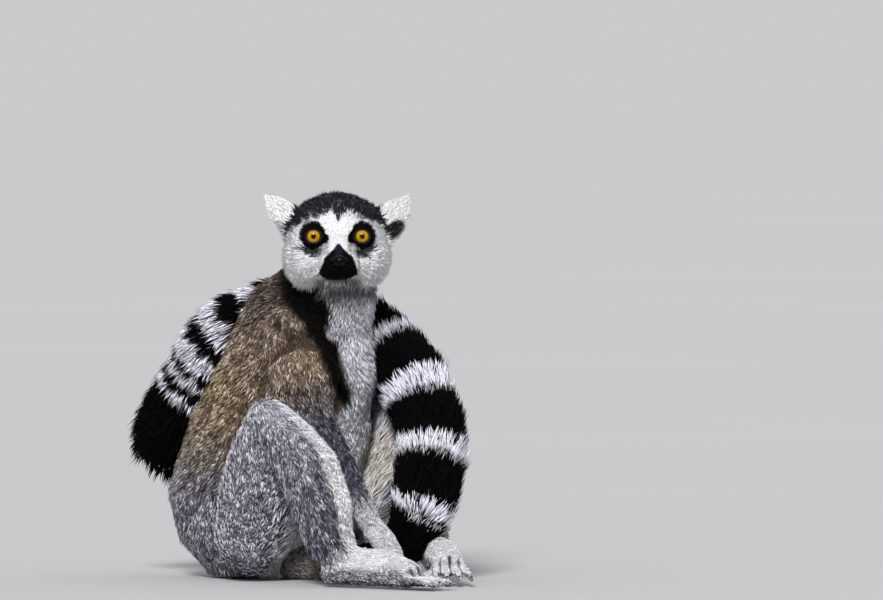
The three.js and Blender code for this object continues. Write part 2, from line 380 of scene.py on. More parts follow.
def remeshed(points, triangles, voxel):
    """The outer surface of overlapping or touching solids, as quads about one voxel across."""
    ob = make_mesh("rough", points, triangles)
    modifier = ob.modifiers.new("Remesh", "REMESH")
    modifier.mode = "VOXEL"
    modifier.voxel_size = voxel * METRE
    me = ob.evaluated_get(bpy.context.evaluated_depsgraph_get()).data
    found = places(me), read(me.loops, "vertex_index", 1, np.int32).reshape(-1, 4)
    bpy.data.objects.remove(ob)
    return found


class Surface:
    """A closed quad mesh with its edges, for smoothing and normals."""

    def __init__(self, points, quads):
        self.points = points
        self.quads = quads
        pairs = np.vstack([quads[:, [i, (i + 1) % 4]] for i in range(4)])
        self.a, self.b = pairs[:, 0], pairs[:, 1]
        self.valence = np.bincount(self.a, minlength=len(points)).astype(float)

    def around(self, values):
        """The mean of each point's neighbours."""
        if values.ndim == 1:
            return np.bincount(self.a, values[self.b], len(self.points)) / self.valence
        return np.stack([self.around(values[:, k]) for k in range(values.shape[1])], -1)

    def blurred(self, values, times, weight=0.6):
        """Values moved some times towards the mean of their neighbours."""
        weight = np.broadcast_to(weight, (len(self.points),))
        if values.ndim == 2:
            weight = weight[:, None]
        for _ in range(times):
            values = values + (self.around(values) - values) * weight
        return values

    def crosses(self):
        """Each quad's own normal, twice as long as its area is large."""
        p = self.points[self.quads]
        return np.cross(p[:, 2] - p[:, 0], p[:, 3] - p[:, 1])

    def normals(self):
        face = self.crosses()
        total = np.stack([
            np.bincount(self.quads.ravel(), np.repeat(face[:, k], 4), len(self.points)) for k in range(3)], -1)
        return unit(total)


cad_points, cad_triangles, cad_owner = cad_solids()
skin = Surface(*remeshed(cad_points, cad_triangles, SKIN_VOXEL))
cad_tree = BVHTree.FromPolygons(cad_points.tolist(), cad_triangles.tolist())
region = cad_owner[np.array([cad_tree.find_nearest(p)[2] for p in skin.points.tolist()])]
print("skin", len(skin.points), "points")


def in_region(*stems):
    return np.isin(region, [i for i, n in enumerate(NAMES) if n.startswith(stems)])


# Smoothing rounds the facets and closes the seams, gently where the shapes are fine.
fine = in_region("foot", "hand", "ear", "head", "lower_jaw")
weight = skin.blurred(np.where(fine, 0.25, 0.75), 4)
outline = skin.blurred(skin.points, 5, weight)
outline = outline + (skin.blurred(outline, 20, 0.6) - outline) * skin.blurred((~fine).astype(float), 6)[:, None]
skin.points = outline
normal = unit(skin.blurred(skin.normals(), 6, 0.6))
depth = skin.blurred(region_values("depth")[region], 12, 0.6)

_, hy, hz = to_head(skin.points).T
is_head = in_region("head", "lower_jaw")
head_depth = 0.7 + 1.6 * ramp(hy, -14, 6) + 1.4 * ramp(hy, 8, 24)
head_depth = head_depth + 1.2 * ramp(hz, 12, 26) * ramp(hy, 0, 14)
depth = np.where(is_head, head_depth, depth)
depth = skin.blurred(depth, 4, 0.5)
skin.points = skin.points - normal * depth[:, None]


def bump_at(points, centre, radii, height):
    """A smooth rise of `height` round a centre."""
    d = ((points - np.asarray(centre)) / np.asarray(radii)) ** 2
    return height * np.exp(-d.sum(-1))


def sculpt_head(points, normals):
    """Brow, nose bridge, whisker pads, lip line and chin, in the head frame."""
    q = to_head(points)
    move = np.zeros(len(q))
    for s in (-1, 1):
        move += bump_at(q, (s * 19, -2, 11.5), (9, 9, 3.6), 1.5)  # brow
        move += bump_at(q, (s * 26, 4, -3), (5, 8, 9), 0.8)  # cheekbone
        move += bump_at(q, (s * 8, -25, -22), (5, 8, 5), 1.0)  # whisker pad
        move -= bump_at(q, (s * 9, -8, -5), (4, 6, 4), 1.0)  # the hollow in front of the eye
    move -= bump_at(q, (0, -34, -25), (1.6, 10, 4), 1.0)  # the groove under the nose
    lip = np.abs(q[:, 2] + 28.2 + 0.02 * (q[:, 1] + 30)) < 1.6
    move -= np.where(lip & (q[:, 1] < 0) & (np.abs(q[:, 0]) < 16), 0.9, 0)
    return points + normals * move[:, None]


def closest_on(path, points):
    """For each point, the place on a polyline nearest to it: share of the length, centre and tangent."""
    p = np.asarray(path, float)
    lengths = np.linalg.norm(np.diff(p, axis=0), axis=1)
    starts = np.r_[0, np.cumsum(lengths)]
    best = np.full(len(points), 1e18)
    share = np.zeros(len(points))
    centre = np.zeros((len(points), 3))
    tangent = np.zeros((len(points), 3))
    for i, length in enumerate(lengths):
        d = (p[i + 1] - p[i]) / length
        t = np.clip((points - p[i]) @ d, 0, length)
        at = p[i] + t[:, None] * d
        gap = ((points - at) ** 2).sum(-1)
        near = gap < best
        best = np.where(near, gap, best)
        share = np.where(near, (starts[i] + t) / starts[-1], share)
        centre = np.where(near[:, None], at, centre)
        tangent = np.where(near[:, None], d, tangent)
    return share, centre, tangent


# Folds of skin on the right flank, from the armpit back, cut into the skin and darkened with painted shade
CREASES = [[(-43, -61, 175), (-49.5, -55, 175.5), (-52.5, -50.5, 176.3), (-56, -43, 173), (-57.5, -34, 169.5),
            (-56.5, -24.5, 164), (-48.5, -10, 157.5)],
           [(-54.5, -42, 181), (-51.5, -49, 179.5), (-46, -58, 178.5)],
           [(-53, -21, 191), (-54.5, -31, 188.5)],
           [(-49, -11, 151), (-50, -10, 143.5), (-50, -12, 136)],
           [(-56, 7, 127), (-54, 0, 124.5)]]
CREASE_HALF = 1.3
CREASE_DEPTH = 4.9  # the lines lie on the CAD surface, and the skin is that far inside it
# how dark the painted shade in the folds is
CREASE_SHADE = 0.75
CREASE_CUT = 2.2


def crease_share(points):
    """How far each point lies in a fold, from 0 to 1."""
    share = np.zeros(len(points))
    for line in CREASES:
        _, centre, _ = closest_on(line, points)
        away = np.maximum(np.linalg.norm(points - centre, axis=1) - CREASE_DEPTH, 0)
        share = np.maximum(share, np.exp(-(away / CREASE_HALF) ** 2))
    return share


near_head = is_head & (hy < 40)
sculpted = sculpt_head(skin.points, skin.normals())
skin.points = np.where(near_head[:, None], sculpted, skin.points)
skin.points = skin.points - skin.normals() * (CREASE_CUT * crease_share(skin.points))[:, None]

# ---------- the markings: shares of white, brown and dark over the body ----------


def region_flow():
    """The lie of the coat: along each limb to its end, down the trunk, and back from the nose on the head."""
    flow = np.zeros_like(skin.points)
    share = np.zeros(len(skin.points))
    radial = np.zeros_like(skin.points)
    for i, name in enumerate(NAMES):
        mine = region == i
        if not mine.any():
            continue
        p = skin.points[mine]
        if len(REGIONS[name]["path"]):
            share[mine], centre, tangent = closest_on(REGIONS[name]["path"], p)
            flow[mine] = tangent
            radial[mine] = unit(p - centre)
        elif name.startswith("ear"):
            s = -1 if name.endswith("right") else 1
            q = to_head(p)
            base = np.array([s * 28, 30, -4])
            flow[mine] = (unit(q - base) + np.array([s * 0.3, 0.2, 0.25])) @ HEAD_AXES
            share[mine] = np.clip((q[:, 2] + 6) / 36, 0, 1)
            radial[mine] = normal[mine]
        else:
            q = to_head(p)
            away = unit(q - np.array([0, -30, -15])) + np.array([0, 0.35, -0.12])
            flow[mine] = away @ HEAD_AXES
            radial[mine] = normal[mine]
    return flow, share, radial


flow, share, radial = region_flow()
normal = skin.normals()


def flattened(v, n):
    """Directions laid down on the surface."""
    return unit(v - (v * n).sum(-1, keepdims=True) * n)


flow = flattened(flow, normal)
flow = flattened(skin.blurred(flow, 10, 0.6), normal)

# Where the near-black beside the chest, partly dark fur and partly painted shade, gives way to brown: height,
# and mm across the picture's width
DARK_FUR_AND_SHADE_HEIGHTS = [128, 137, 150, 169, 186, 201, 217]
DARK_FUR_AND_SHADE_EDGE = [29, 24, 18, 10, -1, -9, -14]


def dark_fur_and_shade_beside_chest(p, n, wobble):
    """The near-black between the brown back and the white chest, on the animal's right: partly dark fur, partly
    painted shade cast by the head and in the shoulder's fold.
    """
    across = p @ HEAD_AXES[0]
    edge = np.interp(p[:, 2], DARK_FUR_AND_SHADE_HEIGHTS, DARK_FUR_AND_SHADE_EDGE)
    forward = ramp(-(n @ HEAD_AXES[1]), -0.35, 0.05)
    return ramp(across - edge + wobble, -3, 4) * ramp(40 - across, -2, 2) * forward * ramp(p[:, 2], 118, 136)


# Half the white chest's breadth on the animal's right, in degrees round the trunk, by height
CHEST_HEIGHTS = [95, 125, 138, 156, 170, 180, 203]
CHEST_DEGREES = [40, 13, 2, 14, 19, 20, 38]


def markings(p, n, region, share, radial):
    """Shares of white, brown, slate and black for points of the body."""
    made = {key: np.zeros(len(p)) for key in ("white", "brown", "slate", "black")}
    z = p[:, 2]
    up = n[:, 2]
    wobble = noise(p, 9, 3) * 2.5 + noise(p, 3, 4) * 1.2
    height = z + wobble * 3

    def put(stem, **shares):
        mine = np.isin(region, [i for i, name in enumerate(NAMES) if name.startswith(stem)])
        for key, values in shares.items():
            made[key] = np.where(mine, values, made[key])

    # trunk: brown back, grey rump, white chest and belly; neck: white throat, dark nape; near-black beside the
    # chest, partly dark fur and partly painted shade
    front = np.degrees(np.arctan2(-radial[:, 0], -radial[:, 1]))  # 0 at the front, + to the animal's right
    beside = dark_fur_and_shade_beside_chest(p, n, wobble)
    chest = np.where(front > 0, np.interp(z, CHEST_HEIGHTS, CHEST_DEGREES), 46) - np.abs(front)
    chest = ramp(chest + wobble * 1.5, -4, 5)
    put("trunk", white=chest, brown=(1 - chest) * ramp(height, 58, 112), black=beside * (1 - chest),
        slate=0.75 * (1 - chest) * ramp(height, 168, 208))
    throat = np.where(front > 0, np.interp(z, [203, 215], [46, 74]), 64) - np.abs(front)
    throat = ramp(throat + wobble * 2, -5, 8)
    put("neck", white=throat, brown=(1 - throat) * 0.5, slate=(1 - throat) * 0.8, black=beside * (1 - throat))
    for s, sign in (("right", -1), ("left", 1)):
        # arms: brown above, slate grey below, with a pale inner edge
        put("upper_arm_" + s, brown=0.95 - 0.4 * ramp(share, 0.6, 1.0), black=beside if s == "right" else 0,
            slate=0.45 * ramp(share, 0.5, 0.9) + 0.6 * ramp(height, 172, 206))
        inner = -radial[:, 0] * sign + 0.2 * radial[:, 2]
        put("forearm_" + s, slate=0.75 * (1 - ramp(share, 0.7, 1.0)),
            white=np.maximum(0.5 * ramp(inner, 0.45, 0.9), 0.7 * ramp(share, 0.68, 0.92)))
        put("hand_" + s, white=0.75 - 0.5 * ramp(-up, 0.1, 0.6))
        # legs: grey, white along the front of the shin and over the foot
        # painted light: the fur on top of the knee is whitened where it faces up, as if lit from above
        painted_knee_light = 0.5 * ramp(z, 100, 124) * ramp(up, -0.2, 0.5)
        put("thigh_" + s, white=np.maximum(0.9 * ramp(-n[:, 0] * sign, 0.25, 0.65), painted_knee_light))
        ahead = n @ unit(np.array([-0.62 * sign, -0.78, 0.1]))
        stripe = np.maximum(ramp(ahead + 0.03 * wobble, 0.2, 0.45), painted_knee_light)
        stripe = np.maximum(stripe, 0.7 * ramp(share, 0.9, 1.0))
        put("shank_" + s, white=stripe, slate=0.55 * ramp(share, 0.3, 0.85) * (1 - stripe))
        # the foot's underside is darker: partly greyer fur, partly painted shade where it faces down and near
        # the floor
        under = np.maximum(ramp(-up, 0.0, 0.5), ramp(19 - z + wobble, 0, 8) * ramp(0.8 - up, 0, 0.3))
        put("foot_" + s, white=1 - 0.75 * under, slate=0.8 * under)
    return made.values()


white, brown, slate, black = (
    skin.blurred(v, 3, 0.5) for v in markings(skin.points, normal, region, share, radial))
# painted shade in the folds of the flank
black = np.maximum(black, CREASE_SHADE * crease_share(skin.points))

# ---------- the head's markings, in the head frame ----------


def ellipse(x, z, cx, cz, rx, rz):
    """Under 1 inside the ellipse."""
    return np.sqrt(((x - cx) / rx) ** 2 + ((z - cz) / rz) ** 2)


def face_markings(q):
    """Shares of eye patches, muzzle, cap, painted shade under the chin, and nape, from places in the head
    frame.
    """
    x, y, z = q.T
    side_x = np.abs(x)
    streak = noise(q, 2.4, 21) * 0.10 + noise(q, 7, 22) * 0.05
    front = ramp(-y, -16, -8)
    out = side_x - EYE_SPACING / 2
    ring = np.minimum(ellipse(out, z, -0.2, 0.4, 9.2, 10.2), ellipse(out, z, -7.6, -2.0, 3.8, 4.2))
    smudge = ellipse(out, z, 1.2, -8.8, 8.0, 6.8)
    tear = ellipse(out, z, -8.6, -7.0, 2.6, 6.0)
    patch = ramp(1.0 - ring + streak * 0.8, -0.07, 0.09)
    patch = np.maximum(patch, 0.95 * ramp(1.0 - smudge + streak * 3, -0.25, 0.3))
    patch = np.maximum(patch, 0.5 * ramp(1.0 - tear + streak * 3, -0.3, 0.5)) * front
    half = np.interp(z, [-31, -29, -25.8, -22, -15.5, -11, -8, -6, -5.4],
                     [13.0, 13.7, 13.6, 12.2, 10, 5.4, 2.6, 0.9, 0.1])
    muzzle = ramp(half - side_x + streak * 2, -0.5, 0.5) * ramp(-z, 5.0, 6.2)
    muzzle = muzzle * ramp(-y, -6, -2) * ramp(z, -31.0, -30.0)
    cap_edge = 17.2 - 0.0124 * side_x**2 - 6.5 * np.exp(-(x / 2.2) ** 2)
    cap = ramp(z - cap_edge + streak * 22, -2.2, 2.2)
    cap = np.maximum(cap, ramp(y, 24, 34) * ramp(z, -6, 6))
    cap = cap * ramp(z, -14, -4)
    # painted shade under the chin, on the lower jaw
    chin = ramp(-z, 28, 31) * ramp(22 - side_x, 0, 9)
    nape = ramp(y, 30, 44)
    return patch, muzzle, cap, chin, nape


# ---------- fingers and toes ----------


DIGIT_SPREAD = 9.6  # half the distance across the roots of the four fingers


def digits(start, reach, out, length, drop, thumb):
    """The places along each finger or toe, thumb last."""
    start, reach, out = (np.array(v, float) for v in (start, reach, out))
    found = []
    for f in (-1, -0.34, 0.33, 1):
        root = start + out * f * DIGIT_SPREAD
        bend = root + reach * length * 0.55 + out * f * 2.2
        found.append((root, bend, bend + reach * length * 0.45 + out * f * 1.2 + np.array(drop, float)))
    found.append(tuple(np.array(p, float) for p in thumb))
    return found


def foot_digits(s):
    a = np.array(ANKLE[s], float)
    turn = math.radians(10 if s == "right" else -38)
    outward = -1 if s == "right" else 1
    reach = np.array([math.sin(turn), -math.cos(turn), 0])
    out = np.array([outward * math.cos(turn), outward * math.sin(turn), 0])
    arch = 0 if s == "right" else 5

    def at(forward, sideways, z):
        return [*(a + reach * forward + out * sideways)[:2], z]

    return digits(at(61, 2, 8.5 + arch), [reach[0], reach[1], -0.1 - arch / 40], out, 27, [0, 0, -1.2],
                  [at(42, -8, 6.5), at(56, -17, 5), at(67, -21, 3.8)])


def hand_digits(s):
    w = np.array(WRIST[s], float)
    if s == "right":
        return digits(w + [10, -22, -37], [0.5, -0.72, -0.2], [-0.82, -0.57, 0], 22, [0, 0, 0.5],
                      [w + [14, -8, -31], w + [21, -11, -37], w + [27, -17, -40]])
    return digits(w + [0, -15, -24], [0, 0.05, -1], [0.99, 0, 0], 22, [0, 2.5, 0],
                  [w + [-7, -12, -14], w + [-14, -12, -22], w + [-17, -11, -30]])


DIGITS = {"foot_right": foot_digits("right"), "foot_left": foot_digits("left"),
          "hand_right": hand_digits("right"), "hand_left": hand_digits("left")}


def shade_between_digits(points, kind):
    """Painted shade in the gaps between fingers or toes: 1 there, 0 along their backs and over the palm or
    sole.
    """
    gap = np.zeros(len(points))
    for name, lines in DIGITS.items():
        mine = kind == INDEX[name]
        if not mine.any():
            continue
        p = points[mine]
        found = [closest_on(line, p) for line in lines]
        away = np.stack([np.linalg.norm(p - centre, axis=1) for _, centre, _ in found], 1)
        share = np.stack([f[0] for f in found], 1)
        order = np.argsort(away, axis=1)
        first, second = (np.take_along_axis(away, order[:, k:k + 1], 1)[:, 0] for k in (0, 1))
        beyond = np.take_along_axis(share, order[:, :1], 1)[:, 0]
        gap[mine] = ramp(1.9 - (second - first), 0, 1.7) * ramp(beyond, 0.0, 0.12)
    return gap


# ---------- the skin object ----------


def pale_colour(p):
    """The white of the chest is tinted blue as painted shade, that of the inner legs is cream, and the throat
    carries painted shade under the chin.
    """
    # painted shade: a blue cast of shade light on the white of the chest and belly
    cool_shade = ramp(p[:, 2], 70, 110) * ramp(208 - p[:, 2], 0, 12)
    pale = mix(WHITE, SHADE_BLUE_WHITE, 0.6 * cool_shade)
    cream = ramp(p[:, 0], 22, 34) * ramp(118 - p[:, 2], 0, 20) * ramp(p[:, 2], 26, 40)
    pale = mix(pale, CREAM, cream)
    # painted shade under the chin: the throat's white is darkened just below the head
    throat = np.exp(-((p[:, 2] - 211) / 7) ** 2) * ramp(-(p @ HEAD_AXES[1]), -5, 20)
    return mix(pale, THROAT_SHADE, 0.9 * throat)


def body_colour(p, white, brown, slate, black):
    base = mix(mix(GREY, BROWN, brown), SLATE, slate)
    base = mix(base, pale_colour(p), white)
    return mix(base, UMBER, black)


def head_colour(q, dither=0):
    patch, muzzle, cap, chin, nape = face_markings(q)
    # painted shade under the chin
    base = mix(WHITE, CHIN_SHADE, chin * 0.8)
    base = mix(base, CAP, np.clip(cap + dither * 0.4 * (cap > 0.02) * (cap < 0.9), 0, 1) * 0.98)
    base = mix(base, mix(GREY, BROWN, 0.4), nape * 0.6)
    base = mix(base, BLACK, np.clip(patch + dither * 0.3 * (patch > 0.05) * (patch < 0.95), 0, 1))
    # painted sheen: a purple-blue glint along the top of the muzzle
    bridge = (ramp(3.6 - np.abs(q[:, 0]), 0, 2) * ramp(q[:, 2], -17, -12))[:, None]
    return mix(base, BLACK * 0.8 + bridge * BRIDGE_SHEEN, muzzle)


UNDER_FUR = 0.5  # how light the skin is, beside the hair over it: darkened as painted shade under the coat
skin_colour = body_colour(skin.points, white, brown, slate, black)
skin_colour = np.where(is_head[:, None], head_colour(to_head(skin.points)), skin_colour)


def ear_hollow_skin_and_shade(points, normals):
    """The dark bare hollow low in each ear, from 0 to 1: dark bare skin and painted shade in the hollow,
    fainter on the right ear.
    """
    q = to_head(points)
    out = np.abs(q[:, 0])
    across = (out - 40.5) * 0.75 + (q[:, 2] - 4.0) * 0.66
    up = (q[:, 2] - 4.0) * 0.75 - (out - 40.5) * 0.66
    inside = ramp(1.2 - np.sqrt((across / 9.5) ** 2 + (up / 5.0) ** 2), 0, 0.3)
    return inside * ramp(-(normals @ HEAD_AXES.T)[:, 1], -0.1, 0.35) * np.where(q[:, 0] < 0, 0.45, 1.0)


# dark bare skin and painted shade in each ear's hollow
ear_tint = mix(WHITE * 0.9, DARK_SKIN * 0.25, ear_hollow_skin_and_shade(skin.points, normal))
skin_colour = np.where(in_region("ear")[:, None], ear_tint, skin_colour)
skin_colour = skin_colour * UNDER_FUR
# dark bare pads on the palms and soles, and painted shade between the digits
pads = in_region("foot", "hand") * ramp(-normal[:, 2], 0.35, 0.8)
skin_colour = mix(skin_colour, DARK_SKIN, np.maximum(pads, shade_between_digits(skin.points, region)))
print("skin done")

# ---------- tail: its skin is a tube round the path ----------

TAIL_LINE = spline(TAIL, 24)
tail_steps = np.linalg.norm(np.diff(TAIL_LINE[:, :3], axis=0), axis=1)
tail_at = np.r_[0, np.cumsum(tail_steps)]
TAIL_LENGTH = tail_at[-1]
TAIL_END = TAIL_LENGTH + 6  # where the last tufts stand
TAIL_PIECES = 4
TIP_RINGS = (396, 410)  # from here on each tuft has one colour, so that the narrow rings stay crisp
STRAY_SHARE = 0.05  # of grey tufts among the tail's white ones


def tail_frame(s):
    """Centre, coat radius, tangent, side and up at distances along the tail, and straight past its end."""
    inside = np.clip(s, 0, TAIL_LENGTH)

    def line(ahead):
        place = np.clip(inside + ahead, 0, TAIL_LENGTH)
        return np.stack([np.interp(place, tail_at, TAIL_LINE[:, k]) for k in range(4)], -1)

    values = line(0)
    tangent = unit(line(3)[:, :3] - line(-3)[:, :3])
    side = unit(np.cross(tangent, np.cross(np.array([1, 0.1, 0.05]), tangent)))
    up = np.cross(tangent, side)
    centre = values[:, :3] + tangent * (s - inside)[:, None]
    return centre, values[:, 3], tangent, side, up


def tail_skin_radius(s, coat):
    """Thin under a deep coat, and closed at both ends."""
    core = coat * 0.6
    end = np.sqrt(np.clip(1 - ((s - TAIL_LENGTH) / 12.0) ** 2, 0, 1))
    return core * np.where(s > TAIL_LENGTH, end, 1.0)


# Where each ring ends, in mm along the tail from the rump: grey, then black and white in turn to the tip
RING_ENDS = [98, 179, 193, 220, 236, 266, 286, 314, 326, 354, 368, 384, 396, 426, 438, 453, 464, 474, 486, 492,
             499, 507, 514]
# The tail's white leans blue: a painted cast of the blue light in shade.
TAIL_WHITE = colour(232, 232, 246)
TAIL_GREY = colour(176, 170, 164)
TAIL_BLACK = colour(4, 4, 5)


def ring_colour(s):
    """The tail's colour at a distance along it."""
    ring = np.searchsorted(RING_ENDS, s)
    tint = np.where((ring % 2 == 1)[:, None], TAIL_BLACK, TAIL_WHITE)
    return np.where((ring == 0)[:, None], TAIL_GREY, tint)


TAIL_ROWS = 170
TAIL_AROUND = 24


def tail_skin():
    """The tail's flesh: points, quads and colours."""
    s = np.repeat(np.r_[np.linspace(0, TAIL_LENGTH, TAIL_ROWS), TAIL_LENGTH + np.array([4, 8, 10.5, 11.9])],
                  TAIL_AROUND)
    turn = np.tile(turns(TAIL_AROUND), len(s) // TAIL_AROUND)
    centre, coat, _, side, up = tail_frame(s)
    points = centre + tail_skin_radius(s, coat)[:, None] * swung(turn, side, up)
    return points, tube_quads(len(s) // TAIL_AROUND, TAIL_AROUND), ring_colour(s)


# ---------- eyes ----------

GAZE = np.array([math.sin(CAMERA_AZIMUTH), -math.cos(CAMERA_AZIMUTH), 0.02])
LID_HALF_WIDE = 44.0  # degrees, as the next
LID_HALF_HIGH = 34.8
LID_BLACK = colour(8, 7, 9)
LID_EDGE = colour(40, 33, 37)


def eye_axes(side):
    """Right, up and ahead for an eye, in the animal's frame."""
    yaw = math.radians(1.5) * side
    ahead = unit(GAZE * math.cos(yaw) + HEAD_AXES[0] * math.sin(yaw))
    right = unit(np.cross(np.array([0, 0, 1.0]), ahead))
    return right, np.cross(ahead, right), ahead


def eye_centre(side):
    return from_head([[side * EYE_SPACING / 2, EYE_BACK, 0]])[0]


def on_eye(side, angle, turn, radius):
    """Points at degrees off the gaze, a turn round it and a distance from the eye's centre."""
    right, up, ahead = eye_axes(side)
    away = swung(np.radians(angle), ahead, swung(turn, right, up))
    return eye_centre(side) + np.asarray(radius)[..., None] * away


def eyeball(side, name):
    around, rows = 64, 44
    angle = np.linspace(0.4, 179.6, rows)
    radius = EYE_RADIUS * (1 + 0.05 * (1 - ramp(angle, 20, 48)))
    points = on_eye(side, np.repeat(angle, around), np.tile(turns(around), rows), np.repeat(radius, around))
    return make_mesh(name, points, tube_quads(rows, around))


def iris_material(side, name):
    """Pupil, amber iris with fine spokes, dark rim and dark sclera, by distance from the line of sight."""
    n = Nodes(name)
    where = n.add("ShaderNodeTexCoord", "Object")
    kind = "ShaderNodeVectorMath"
    away = n.add(kind, "Vector", where, Vector(to_frame(eye_centre(side))), operation="SUBTRACT")
    cross = n.add(kind, "Vector", away, Vector(eye_axes(side)[2]), operation="CROSS_PRODUCT")
    reach = n.add(kind, "Value", cross, operation="LENGTH")
    spoke = n.add(kind, "Vector", cross, operation="NORMALIZE")
    fibres = n.add("ShaderNodeTexNoise", "Fac", spoke, Scale=9.0, Detail=4.0)
    shake = n.add("ShaderNodeMapRange", "Result", fibres, To_Min=-0.05, To_Max=0.05)
    share = n.add("ShaderNodeMath", "Value", reach, 1 / (EYE_RADIUS * METRE), shake, operation="MULTIPLY_ADD")
    rings = n.stops(share, (0.0, (0, 0, 0)), (0.175, (0, 0, 0)), (0.21, (48, 30, 4)), (0.28, (134, 100, 5)),
                    (0.46, (170, 134, 6)), (0.58, (150, 104, 5)), (0.66, (76, 40, 6)), (0.71, (6, 5, 5)),
                    (1.0, (10, 8, 8)))
    n.set(Base_Color=rings, Roughness=0.4, Specular_IOR_Level=0.0, Coat_Weight=0.6, Coat_Roughness=0.14,
          Coat_IOR=1.33)
    return n.material


# rows of a lid: degrees outside the opening and distance from the eye's centre, out over the face and back
LID_ROWS = [(0.0, 7.45), (1.2, 7.85), (4.5, 8.15), (11, 8.35), (20, 8.6), (32, 9.6), (50, 11.0), (50, 6.9),
            (8, 6.9)]


def lid_opening(turn):
    """Degrees off the gaze to the lids' edge, at a turn round it."""
    wide = np.abs(np.cos(turn)) / LID_HALF_WIDE
    high = np.abs(np.sin(turn)) / LID_HALF_HIGH
    return (wide**2.1 + high**2.1) ** (-1 / 2.1)


def lid_skin(side):
    """A closed ring of lids round one eye."""
    around = 72
    turn = turns(around)
    inner = np.cos(turn) * -side  # 1 at the corner next to the nose
    edge = lid_opening(turn) + 5.0 * np.exp(-((1 - inner) / 0.03) ** 2)
    points = np.vstack([on_eye(side, edge + more, turn, np.full(around, r)) for more, r in LID_ROWS])
    tint = head_colour(to_head(points)) * 0.8
    tint[:around * 4] = LID_BLACK
    tint[:around * 2] = LID_EDGE
    return points, grid_quads(len(LID_ROWS), around, closed_rows=True), tint


# ---------- joined skin object ----------

skin_object = joined("skin", [(skin.points, skin.quads, skin_colour), tail_skin(), lid_skin(1), lid_skin(-1)])
flesh = [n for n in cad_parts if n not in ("eye_right", "eye_left", "nose")]
skin_material = tinted("lemur_skin", 0.3, 1.6, 0.7, Roughness=0.75, Specular_IOR_Level=0.1)
piece(skin_object, skin_material, "fur_grey", *flesh)

for side, s in ((-1, "right"), (1, "left")):
    ball = eyeball(side, "eyeball_" + s)
    piece(ball, iris_material(side, "iris_" + s), "eye", "eye_" + s)

# ---------- nose pad ----------

NOSE_CENTRE = np.array([0, -30.5, -18.2])
NOSE_RADII = np.array([6.9, 8.6, 5.2])
NOSE_TILT = math.radians(-12)
NOSE_BLACK = colour(4, 4, 5)
NOSTRIL_SHADE = colour(1, 1, 1)


def nose_pad():
    """A leathery pad with comma-shaped nostrils, darkened inside with painted shade, and a groove down the
    middle.
    """
    around, rows = 88, 60
    angle = np.repeat(np.linspace(0.02, math.pi - 0.02, rows), around)
    turn = np.tile(turns(around), rows)
    d = np.stack([np.sin(angle) * np.cos(turn), -np.cos(angle), np.sin(angle) * np.sin(turn)], -1)
    p = d * NOSE_RADII
    square = 1 - 0.1 * np.abs(d[:, 0] * d[:, 2])
    p = p * square[:, None]
    move = -0.9 * np.exp(-(p[:, 0] / 0.5) ** 2) * ramp(-p[:, 2], -1.5, 2.5)
    dark = np.zeros(len(p))
    for s in (-1, 1):
        x = p[:, 0] * s
        hole = np.exp(-(((x - 3.4 + 0.35 * (p[:, 2] + 0.6)) / 1.25) ** 2 + ((p[:, 2] + 0.4) / 1.35) ** 2))
        slit = np.exp(-(((x - 5.2) / 1.6) ** 2 + ((p[:, 2] + 1.6 - 0.25 * (x - 5)) / 0.6) ** 2))
        deep = np.maximum(hole, slit * 0.8) * ramp(-d[:, 1], -0.1, 0.25)
        move -= 1.9 * deep
        # painted shade inside the nostrils
        dark = np.maximum(dark, deep)
        move += 0.5 * np.exp(-(((x - 5.3) / 1.2) ** 2 + ((p[:, 2] - 1.2) / 1.5) ** 2))
    p = p + d * move[:, None]
    c, s = math.cos(NOSE_TILT), math.sin(NOSE_TILT)
    p = np.stack([p[:, 0], p[:, 1] * c - p[:, 2] * s, p[:, 1] * s + p[:, 2] * c], -1) + NOSE_CENTRE
    return make_mesh("nose_pad", from_head(p), tube_quads(rows, around), mix(NOSE_BLACK, NOSTRIL_SHADE, dark))


nose_material = tinted("nose_leather", 0.25, 0.5, 0.12, Roughness=0.6, Specular_IOR_Level=0.0, Coat_Weight=0.28,
                       Coat_Roughness=0.2)
piece(nose_pad(), nose_material, "nose_leather", "nose")

# ---------- nails ----------


def nail(bend, tip, back, length=4.2, width=2.3):
    """A curved nail on the back of a digit's end."""
    ahead = unit(tip - bend)
    up = unit(back - (back @ ahead) * ahead)
    side = np.cross(ahead, up)
    rows, around = 9, 12
    points = []
    for t in np.linspace(0, 1, rows):
        half = width / 2 * math.sqrt(max(1 - (2 * t - 1) ** 4, 0.02)) * (1 - 0.35 * t)
        centre = tip + ahead * (length * (t - 0.42)) + up * (1.7 - 2.0 * t * t)
        for j in range(around):
            a = 2 * math.pi * j / around
            points.append(centre + side * half * math.cos(a) + up * (half * 0.42 * math.sin(a)))
    points = np.array(points)
    points[:, 2] = np.maximum(points[:, 2], 0.2)
    return points, tube_quads(rows, around), np.broadcast_to(NAIL, points.shape)


def nails():
    made = []
    for s in ("right", "left"):
        made += [nail(a, b, np.array([0, 0, 1.0])) for _, a, b in DIGITS["foot_" + s]]
        back = np.array([-0.35, -0.45, 1.0]) if s == "right" else np.array([0.1, -1.0, 0])
        made += [nail(a, b, back, 3.4, 2.0) for _, a, b in DIGITS["hand_" + s]]
    return joined("nails", made)


piece(nails(), tinted("nail_horn", 0.3, 0.7, 0.3, Roughness=0.35, Specular_IOR_Level=0.5), "nose_leather")

# ---------- the coat ----------

PATCH = 0.003  # how large each tuft is on the map
LOCK = 8  # tufts in a lock of the body
MOST = 33000  # tufts of six triangles in one piece, so that a piece has under 200,000 triangles
BODY_TUFTS = 120000
HEAD_TUFTS = 36000
TAIL_TUFTS = 41000
LID_TUFTS = 1500  # round each eye
TUFT_SHARES = (0.42, 0.58)  # of a tuft's length, up to its ring and from there to its tip
ROOT_DEPTH = 0.5
BRIGHTEST = 0.93
EARS = [INDEX["ear_right"], INDEX["ear_left"]]

